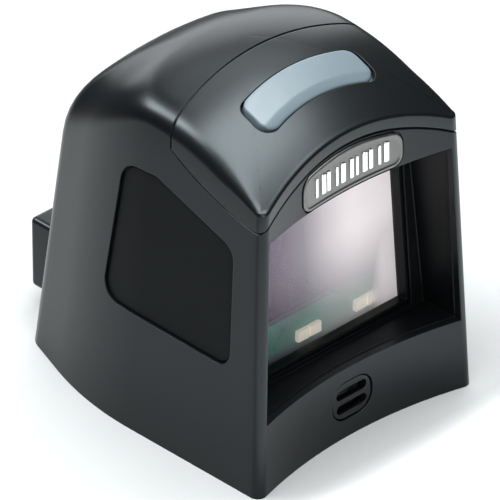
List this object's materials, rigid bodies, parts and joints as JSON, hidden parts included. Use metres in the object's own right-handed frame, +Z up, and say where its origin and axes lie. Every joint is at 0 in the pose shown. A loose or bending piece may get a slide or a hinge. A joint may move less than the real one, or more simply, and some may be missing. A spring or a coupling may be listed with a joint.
{
  "type": "hands-free presentation scanner head",
  "caption": "Helmet-shaped presentation imager head with a recessed window, lift-off hood, lit press bar, rear cable socket and threaded stand insert.",
  "frame": {"origin": "centre of the stand thread's mouth on the underside", "axes": "+Z up; the reading window faces -Y; +X is to the right for a viewer in front of the window"},
  "size_m": [0.076, 0.1046, 0.0989],
  "materials": {
    "housing_plastic": "fine satin texture",
    "hood_plastic": "satin",
    "black_plastic": "satin",
    "grip_rubber": "matte",
    "gasket_rubber": "matte",
    "badge_metal": "satin metal",
    "badge_bright": "polished",
    "window_glass": "coated pane",
    "lens_glass": "polished",
    "diffuser": "translucent pale blue",
    "white_plastic": "satin",
    "circuit_board": "solder mask",
    "chip_black": "moulded",
    "lamp_package": "ceramic",
    "ivory_plastic": "moulded",
    "steel": "plated",
    "brass": "machined",
    "flex_film": "film",
    "label_film": "film"
  },
  "bodies": {
    "head": {"main_housing": "housing_plastic", "hood": "hood_plastic", "base_plate": "black_plastic", "tunnel_liner": "black_plastic", "window_frame": "black_plastic", "window_gasket": "gasket_rubber", "window": "window_glass", "side_grip_left": "grip_rubber", "side_grip_right": "grip_rubber", "badge_plate": "badge_metal", "badge_bars": "badge_bright", "beeper_grille": "housing_plastic", "beeper_gasket": "gasket_rubber", "beeper": "chip_black", "tact_switch": "chip_black", "bar_board": "circuit_board", "bar_lights": "lamp_package", "bar_bracket": "black_plastic", "chassis": "black_plastic", "camera_bracket": "steel", "sensor_board": "circuit_board", "lens_holder": "chip_black", "lens_barrel": "chip_black", "lens": "lens_glass", "lamp_board": "circuit_board", "lamps": "lamp_package", "lamp_spacers": "black_plastic", "main_board": "circuit_board", "shield_can": "steel", "board_chips": "chip_black", "board_sockets": "ivory_plastic", "sensor_flex": "flex_film", "bar_flex": "flex_film", "socket_flex": "flex_film", "socket_box": "housing_plastic", "socket_jack": "chip_black", "jack_contacts": "brass", "stand_insert": "brass", "base_screws": "steel", "chassis_screws": "steel", "hood_screws": "steel", "board_screws": "steel", "bracket_screws": "steel", "rating_label": "label_film"},
    "button": {"press_bar": "diffuser", "bar_carrier": "white_plastic", "switch_plunger": "chip_black"}
  },
  "joints": [
    {"name": "bar_press", "type": "slide", "parent": "head", "child": "button", "axis": [0, 0.3432, -0.9393], "range_m": [0, 0.001], "stiffness_N_per_m": 1200}
  ]
}
